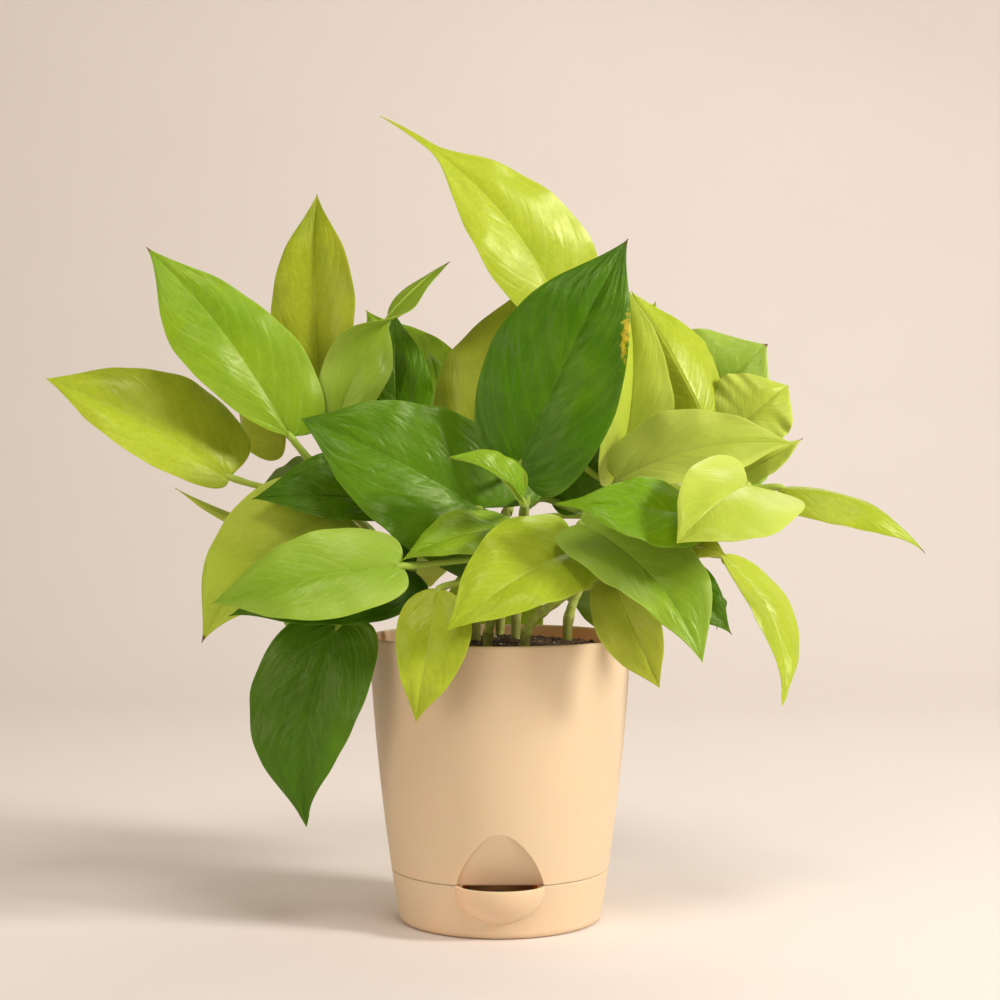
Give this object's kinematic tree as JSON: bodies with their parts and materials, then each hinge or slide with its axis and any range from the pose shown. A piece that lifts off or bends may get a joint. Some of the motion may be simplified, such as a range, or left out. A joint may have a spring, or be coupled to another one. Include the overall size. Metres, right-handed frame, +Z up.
{
  "type": "potted pothos plant",
  "caption": "Bushy pothos with heart-shaped lime and dark green leaves on stalks and short stems, rooted in soil in a tapered self-watering plastic pot with a front water inlet.",
  "frame": {"origin": "centre of the pot's flat underside", "axes": "+Z up through the pot's axis; -Y out through the water inlet, the side seen in the picture; +X to the right of that view"},
  "size_m": [0.4322, 0.2441, 0.4002],
  "materials": {
    "pot_plastic": "satin",
    "soil": "matte",
    "stem": "satin",
    "leaf_lime": "satin",
    "leaf_olive": "satin",
    "leaf_mid": "satin",
    "leaf_dark": "satin"
  },
  "bodies": {
    "root": {"pot": "pot_plastic", "reservoir": "pot_plastic", "soil": "soil", "stem_left_front": "stem", "stem_left_back": "stem", "stem_center_left": "stem", "stem_center": "stem", "stem_front": "stem", "stem_right_front": "stem", "stem_right_back": "stem", "stem_back": "stem", "leaf_far_left": "leaf_lime", "leaf_upper_left": "leaf_mid", "leaf_left_tall": "leaf_olive", "leaf_left_twisted": "leaf_mid", "leaf_left_spear": "leaf_lime", "leaf_left_wide": "leaf_lime", "leaf_left_dark": "leaf_dark", "leaf_left_pale": "leaf_mid", "leaf_left_under": "leaf_dark", "leaf_left_hanging": "leaf_dark", "leaf_back_dark": "leaf_dark", "leaf_back_small": "leaf_mid", "leaf_center_olive": "leaf_olive", "leaf_top": "leaf_lime", "leaf_center_large": "leaf_dark", "leaf_center_behind": "leaf_dark", "leaf_center_left": "leaf_dark", "leaf_center_curl": "leaf_mid", "leaf_front_glossy": "leaf_mid", "leaf_front_lime": "leaf_lime", "leaf_front_rim": "leaf_lime", "leaf_front_right": "leaf_mid", "leaf_front_olive": "leaf_olive", "leaf_right_curl": "leaf_mid", "leaf_right_large": "leaf_lime", "leaf_right_heart": "leaf_lime", "leaf_right_long": "leaf_lime", "leaf_right_hanging": "leaf_lime", "leaf_right_dark": "leaf_dark", "leaf_right_small": "leaf_olive", "leaf_right_narrow": "leaf_lime", "leaf_right_folded": "leaf_lime", "leaf_right_wavy": "leaf_lime", "leaf_right_top": "leaf_mid", "leaf_right_tip": "leaf_lime", "leaf_back_high": "leaf_mid", "leaf_back_tall": "leaf_olive", "leaf_back_middle": "leaf_lime", "leaf_back_left": "leaf_dark", "leaf_back_right": "leaf_mid", "leaf_back_low_left": "leaf_lime", "leaf_back_low_right": "leaf_dark", "leaf_back_hanging": "leaf_mid", "leaf_side_right": "leaf_mid", "leaf_side_right_low": "leaf_dark", "leaf_side_left": "leaf_olive", "leaf_side_left_low": "leaf_mid", "leaf_back_top": "leaf_lime", "leaf_back_crown": "leaf_olive"}
  },
  "joints": []
}
